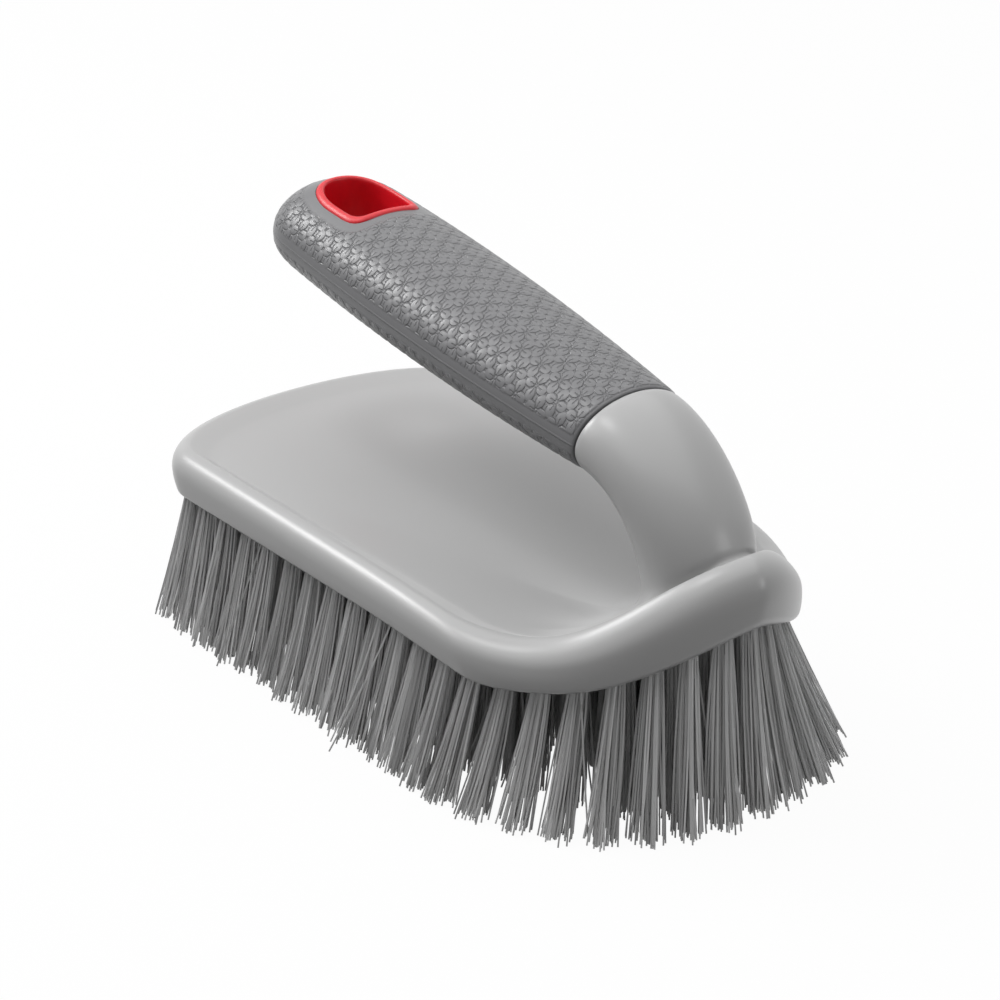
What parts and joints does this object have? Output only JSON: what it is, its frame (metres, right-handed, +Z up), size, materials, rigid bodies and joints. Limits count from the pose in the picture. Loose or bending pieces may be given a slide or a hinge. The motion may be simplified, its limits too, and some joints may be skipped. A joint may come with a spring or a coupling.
{
  "type": "scrub brush",
  "caption": "Hand scrub brush with an iron-shaped grey block, a forward neck, a soft textured grip with a red-lined hang hole, and stiff flared grey bristles.",
  "frame": {"origin": "on the table under the middle of the brush, at the level of the bristle tips", "axes": "+X towards the nose, +Z up, away from the bristles, +Y to the left of someone who looks towards the nose"},
  "size_m": [0.1728, 0.1026, 0.104],
  "materials": {
    "body_plastic": "glossy light grey polypropylene",
    "grip_rubber": "matte mid grey soft-touch rubber with a raised rosette pattern",
    "liner_plastic": "smooth red",
    "plate_plastic": "plain grey moulding",
    "bristle_fibre": "grey polypropylene filament"
  },
  "bodies": {
    "root": {"body_shell": "body_plastic", "grip_sleeve": "grip_rubber", "hang_hole_liner": "liner_plastic", "tuft_plate": "plate_plastic", "tuft_row_01": "bristle_fibre", "tuft_row_02": "bristle_fibre", "tuft_row_03": "bristle_fibre", "tuft_row_04": "bristle_fibre", "tuft_row_05": "bristle_fibre", "tuft_row_06": "bristle_fibre", "tuft_row_07": "bristle_fibre", "tuft_row_08": "bristle_fibre", "tuft_row_09": "bristle_fibre", "tuft_row_10": "bristle_fibre", "tuft_row_11": "bristle_fibre", "tuft_row_12": "bristle_fibre", "tuft_row_13": "bristle_fibre", "tuft_row_14": "bristle_fibre", "tuft_row_15": "bristle_fibre", "tuft_row_16": "bristle_fibre", "tuft_row_17": "bristle_fibre", "tuft_row_18": "bristle_fibre", "tuft_row_19": "bristle_fibre", "tuft_row_20": "bristle_fibre", "tuft_row_21": "bristle_fibre", "tuft_row_22": "bristle_fibre"}
  },
  "joints": []
}
